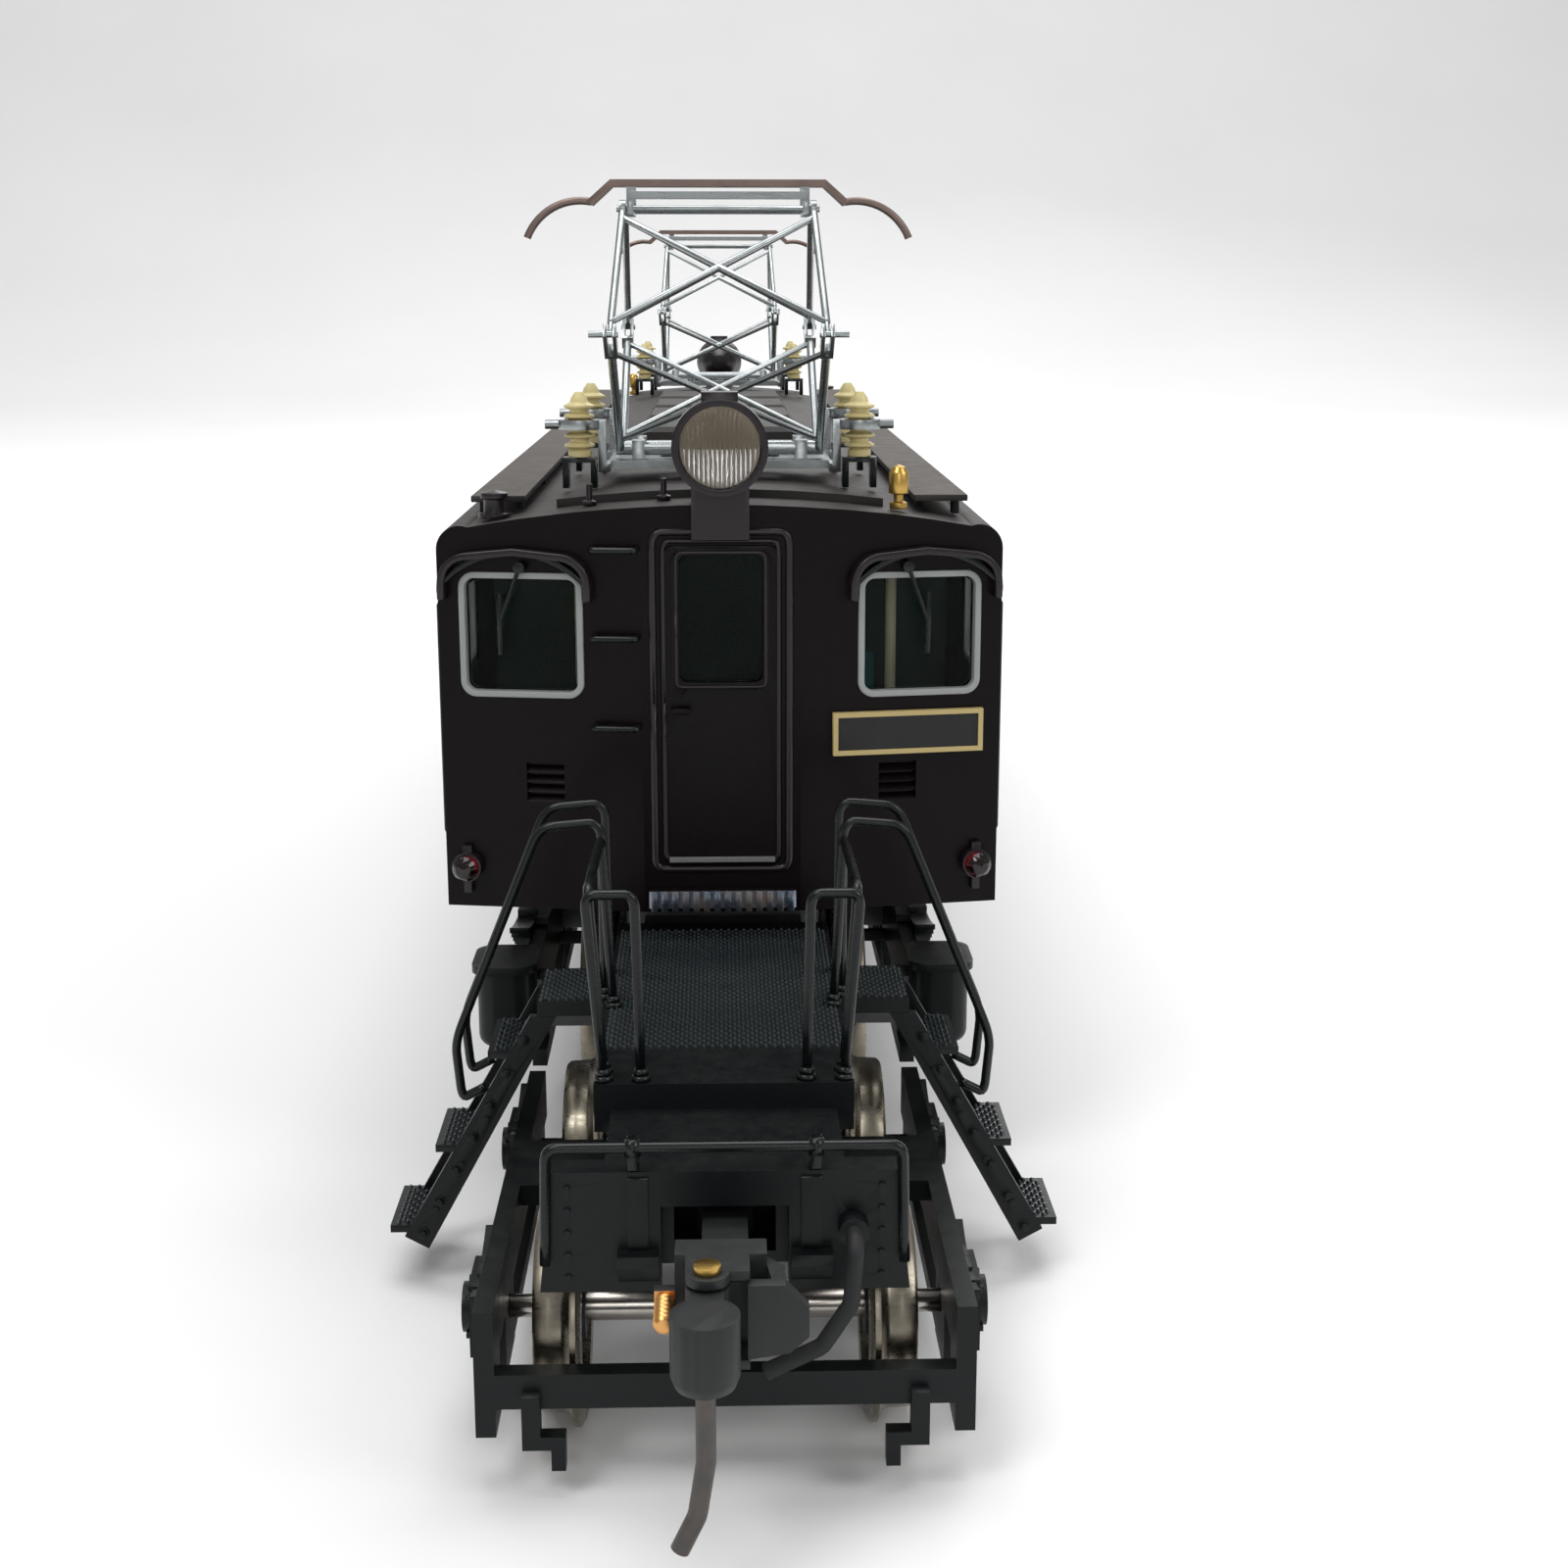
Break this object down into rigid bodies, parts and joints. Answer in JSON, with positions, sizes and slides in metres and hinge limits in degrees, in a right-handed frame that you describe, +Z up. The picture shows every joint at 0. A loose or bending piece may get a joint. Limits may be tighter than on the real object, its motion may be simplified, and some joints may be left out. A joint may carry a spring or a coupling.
{
  "type": "model electric locomotive",
  "caption": "Small-scale box-cab electric locomotive with end decks, raised pantographs, swivelling trucks, driven spoked wheels, guide trucks and knuckle couplers.",
  "frame": {"origin": "on the ground under the middle of the locomotive, at the bottom of the wheel flanges", "axes": "+Y along the locomotive with the front end at -Y, +X to the right seen from the front, +Z up"},
  "size_m": [0.0394, 0.249, 0.0645],
  "materials": {
    "body_brown": "satin",
    "roof_grey": "matt",
    "window_metal": "satin",
    "clear_pane": "clear",
    "black_trim": "satin",
    "lamp_glass": "fluted",
    "red_lens": "clear",
    "insulator_cream": "glazed",
    "pantograph_silver": "satin",
    "cab_green": "matt",
    "board_green": "gloss",
    "cast_weight": "cast",
    "gear_block": "cast",
    "running_gear_black": "satin",
    "wheel_nickel": "bright",
    "steel": "bright",
    "worm_brass": "bright",
    "coupler_grey": "matt"
  },
  "bodies": {
    "body": {"ballast": "cast_weight", "body_shell": "body_brown", "body_trim": "black_trim", "cab_interiors": "cab_green", "circuit_board": "board_green", "end_doors": "body_brown", "headlight_lenses": "lamp_glass", "insulators": "insulator_cream", "lamp_housings": "black_trim", "pantograph_bases": "pantograph_silver", "roof_fittings": "roof_grey", "roof_walkways": "roof_grey", "tail_lamp_lenses": "red_lens", "underframe": "gear_block", "window_frames": "window_metal", "window_panes": "clear_pane"},
    "front_truck": {"front_truck_frame": "gear_block", "front_keeper_plate": "gear_block", "front_pivot_hardware": "steel", "front_side_frames": "running_gear_black", "front_end_deck": "running_gear_black", "front_handrails": "running_gear_black", "front_side_steps": "running_gear_black", "front_motor_can": "steel"},
    "front_drive_shaft": {"front_drive_shaft": "worm_brass"},
    "front_driver_1": {"front_driver_1": "wheel_nickel"},
    "front_driver_2": {"front_driver_2": "wheel_nickel"},
    "front_driver_3": {"front_driver_3": "wheel_nickel"},
    "front_guide_truck": {"front_guide_frame": "running_gear_black"},
    "front_guide_wheelset_1": {"front_guide_wheelset_1": "wheel_nickel"},
    "front_guide_wheelset_2": {"front_guide_wheelset_2": "wheel_nickel"},
    "front_coupler": {"front_coupler": "coupler_grey"},
    "front_knuckle": {"front_knuckle": "coupler_grey"},
    "front_pantograph_lower_outer": {"front_pantograph_lower_outer": "pantograph_silver"},
    "front_pantograph_lower_inner": {"front_pantograph_lower_inner": "pantograph_silver"},
    "front_pantograph_upper_outer": {"front_pantograph_upper_outer": "pantograph_silver"},
    "front_pantograph_upper_inner": {"front_pantograph_upper_inner": "pantograph_silver"},
    "front_pantograph_head": {"front_pantograph_head": "pantograph_silver"},
    "rear_truck": {"rear_truck_frame": "gear_block", "rear_keeper_plate": "gear_block", "rear_pivot_hardware": "steel", "rear_side_frames": "running_gear_black", "rear_end_deck": "running_gear_black", "rear_handrails": "running_gear_black", "rear_side_steps": "running_gear_black", "rear_motor_can": "steel"},
    "rear_drive_shaft": {"rear_drive_shaft": "worm_brass"},
    "rear_driver_1": {"rear_driver_1": "wheel_nickel"},
    "rear_driver_2": {"rear_driver_2": "wheel_nickel"},
    "rear_driver_3": {"rear_driver_3": "wheel_nickel"},
    "rear_guide_truck": {"rear_guide_frame": "running_gear_black"},
    "rear_guide_wheelset_1": {"rear_guide_wheelset_1": "wheel_nickel"},
    "rear_guide_wheelset_2": {"rear_guide_wheelset_2": "wheel_nickel"},
    "rear_coupler": {"rear_coupler": "coupler_grey"},
    "rear_knuckle": {"rear_knuckle": "coupler_grey"},
    "rear_pantograph_lower_outer": {"rear_pantograph_lower_outer": "pantograph_silver"},
    "rear_pantograph_lower_inner": {"rear_pantograph_lower_inner": "pantograph_silver"},
    "rear_pantograph_upper_outer": {"rear_pantograph_upper_outer": "pantograph_silver"},
    "rear_pantograph_upper_inner": {"rear_pantograph_upper_inner": "pantograph_silver"},
    "rear_pantograph_head": {"rear_pantograph_head": "pantograph_silver"}
  },
  "joints": [
    {"name": "front_truck_swivel", "type": "hinge", "parent": "body", "child": "front_truck", "pos_m": [0, -0.038, 0.0199], "axis": [0, 0, 1], "range_deg": [-6, 6]},
    {"name": "front_drive_shaft_spin", "type": "hinge", "parent": "front_truck", "child": "front_drive_shaft", "pos_m": [0, -0.038, 0.0143], "axis": [0, -1, 0], "continuous": true},
    {"name": "front_driver_1_spin", "type": "hinge", "parent": "front_truck", "child": "front_driver_1", "pos_m": [0, -0.0625, 0.0085], "axis": [1, 0, 0], "continuous": true},
    {"name": "front_driver_2_spin", "type": "hinge", "parent": "front_truck", "child": "front_driver_2", "pos_m": [0, -0.038, 0.0085], "axis": [1, 0, 0], "continuous": true},
    {"name": "front_driver_3_spin", "type": "hinge", "parent": "front_truck", "child": "front_driver_3", "pos_m": [0, -0.0135, 0.0085], "axis": [1, 0, 0], "continuous": true},
    {"name": "front_guide_truck_swivel", "type": "hinge", "parent": "front_truck", "child": "front_guide_truck", "pos_m": [0, -0.095, 0.009], "axis": [0, 0, 1], "range_deg": [-3.5, 3.5]},
    {"name": "front_guide_wheelset_1_spin", "type": "hinge", "parent": "front_guide_truck", "child": "front_guide_wheelset_1", "pos_m": [0, -0.1055, 0.00608], "axis": [1, 0, 0], "continuous": true},
    {"name": "front_guide_wheelset_2_spin", "type": "hinge", "parent": "front_guide_truck", "child": "front_guide_wheelset_2", "pos_m": [0, -0.0845, 0.00608], "axis": [1, 0, 0], "continuous": true},
    {"name": "front_coupler_swing", "type": "hinge", "parent": "front_truck", "child": "front_coupler", "pos_m": [0, -0.108, 0.0125], "axis": [0, 0, 1], "range_deg": [-12, 12], "stiffness_Nm_per_rad": 0.0005},
    {"name": "front_knuckle_swing", "type": "hinge", "parent": "front_coupler", "child": "front_knuckle", "pos_m": [-0.0008, -0.1201, 0.0125], "axis": [0, 0, 1], "range_deg": [-20, 0], "stiffness_Nm_per_rad": 0.0002, "springref_deg": 20.05},
    {"name": "front_pantograph_fold", "type": "hinge", "parent": "body", "child": "front_pantograph_lower_outer", "pos_m": [0, -0.064, 0.0471], "axis": [1, 0, 0], "range_deg": [0, 21.5], "stiffness_Nm_per_rad": 0.0004, "springref_deg": -51.57},
    {"name": "front_pantograph_upper_outer_turn", "type": "hinge", "parent": "front_pantograph_lower_outer", "child": "front_pantograph_upper_outer", "pos_m": [0, -0.07566, 0.05485], "axis": [1, 0, 0], "range_deg": [-43, 0]},
    {"name": "front_pantograph_head_turn", "type": "hinge", "parent": "front_pantograph_upper_outer", "child": "front_pantograph_head", "pos_m": [0, -0.064, 0.06259], "axis": [1, 0, 0], "range_deg": [0, 21.5]},
    {"name": "front_pantograph_lower_inner_turn", "type": "hinge", "parent": "body", "child": "front_pantograph_lower_inner", "pos_m": [0, -0.06, 0.0471], "axis": [1, 0, 0], "range_deg": [-21.5, 0]},
    {"name": "front_pantograph_upper_inner_turn", "type": "hinge", "parent": "front_pantograph_lower_inner", "child": "front_pantograph_upper_inner", "pos_m": [0, -0.04834, 0.05485], "axis": [1, 0, 0], "range_deg": [0, 43]},
    {"name": "rear_truck_swivel", "type": "hinge", "parent": "body", "child": "rear_truck", "pos_m": [0, 0.038, 0.0199], "axis": [0, 0, 1], "range_deg": [-6, 6]},
    {"name": "rear_drive_shaft_spin", "type": "hinge", "parent": "rear_truck", "child": "rear_drive_shaft", "pos_m": [0, 0.038, 0.0143], "axis": [0, 1, 0], "continuous": true},
    {"name": "rear_driver_1_spin", "type": "hinge", "parent": "rear_truck", "child": "rear_driver_1", "pos_m": [0, 0.0625, 0.0085], "axis": [-1, 0, 0], "continuous": true},
    {"name": "rear_driver_2_spin", "type": "hinge", "parent": "rear_truck", "child": "rear_driver_2", "pos_m": [0, 0.038, 0.0085], "axis": [-1, 0, 0], "continuous": true},
    {"name": "rear_driver_3_spin", "type": "hinge", "parent": "rear_truck", "child": "rear_driver_3", "pos_m": [0, 0.0135, 0.0085], "axis": [-1, 0, 0], "continuous": true},
    {"name": "rear_guide_truck_swivel", "type": "hinge", "parent": "rear_truck", "child": "rear_guide_truck", "pos_m": [0, 0.095, 0.009], "axis": [0, 0, 1], "range_deg": [-3.5, 3.5]},
    {"name": "rear_guide_wheelset_1_spin", "type": "hinge", "parent": "rear_guide_truck", "child": "rear_guide_wheelset_1", "pos_m": [0, 0.1055, 0.00608], "axis": [-1, 0, 0], "continuous": true},
    {"name": "rear_guide_wheelset_2_spin", "type": "hinge", "parent": "rear_guide_truck", "child": "rear_guide_wheelset_2", "pos_m": [0, 0.0845, 0.00608], "axis": [-1, 0, 0], "continuous": true},
    {"name": "rear_coupler_swing", "type": "hinge", "parent": "rear_truck", "child": "rear_coupler", "pos_m": [0, 0.108, 0.0125], "axis": [0, 0, 1], "range_deg": [-12, 12], "stiffness_Nm_per_rad": 0.0005},
    {"name": "rear_knuckle_swing", "type": "hinge", "parent": "rear_coupler", "child": "rear_knuckle", "pos_m": [0.0008, 0.1201, 0.0125], "axis": [0, 0, 1], "range_deg": [-20, 0], "stiffness_Nm_per_rad": 0.0002, "springref_deg": 20.05},
    {"name": "rear_pantograph_fold", "type": "hinge", "parent": "body", "child": "rear_pantograph_lower_outer", "pos_m": [0, 0.064, 0.0471], "axis": [-1, 0, 0], "range_deg": [0, 21.5], "stiffness_Nm_per_rad": 0.0004, "springref_deg": -51.57},
    {"name": "rear_pantograph_upper_outer_turn", "type": "hinge", "parent": "rear_pantograph_lower_outer", "child": "rear_pantograph_upper_outer", "pos_m": [0, 0.07566, 0.05485], "axis": [-1, 0, 0], "range_deg": [-43, 0]},
    {"name": "rear_pantograph_head_turn", "type": "hinge", "parent": "rear_pantograph_upper_outer", "child": "rear_pantograph_head", "pos_m": [0, 0.064, 0.06259], "axis": [-1, 0, 0], "range_deg": [0, 21.5]},
    {"name": "rear_pantograph_lower_inner_turn", "type": "hinge", "parent": "body", "child": "rear_pantograph_lower_inner", "pos_m": [0, 0.06, 0.0471], "axis": [-1, 0, 0], "range_deg": [-21.5, 0]},
    {"name": "rear_pantograph_upper_inner_turn", "type": "hinge", "parent": "rear_pantograph_lower_inner", "child": "rear_pantograph_upper_inner", "pos_m": [0, 0.04834, 0.05485], "axis": [-1, 0, 0], "range_deg": [0, 43]}
  ],
  "couplings": [
    {"joint": "front_driver_1_spin", "follows": "front_driver_2_spin", "ratio": 1},
    {"joint": "front_driver_3_spin", "follows": "front_driver_2_spin", "ratio": 1},
    {"joint": "front_drive_shaft_spin", "follows": "front_driver_2_spin", "ratio": 18},
    {"joint": "front_pantograph_upper_outer_turn", "follows": "front_pantograph_fold", "ratio": -2},
    {"joint": "front_pantograph_head_turn", "follows": "front_pantograph_fold", "ratio": 1},
    {"joint": "front_pantograph_lower_inner_turn", "follows": "front_pantograph_fold", "ratio": -1},
    {"joint": "front_pantograph_upper_inner_turn", "follows": "front_pantograph_fold", "ratio": 2},
    {"joint": "rear_driver_1_spin", "follows": "rear_driver_2_spin", "ratio": 1},
    {"joint": "rear_driver_3_spin", "follows": "rear_driver_2_spin", "ratio": 1},
    {"joint": "rear_drive_shaft_spin", "follows": "rear_driver_2_spin", "ratio": 18},
    {"joint": "rear_pantograph_upper_outer_turn", "follows": "rear_pantograph_fold", "ratio": -2},
    {"joint": "rear_pantograph_head_turn", "follows": "rear_pantograph_fold", "ratio": 1},
    {"joint": "rear_pantograph_lower_inner_turn", "follows": "rear_pantograph_fold", "ratio": -1},
    {"joint": "rear_pantograph_upper_inner_turn", "follows": "rear_pantograph_fold", "ratio": 2}
  ]
}
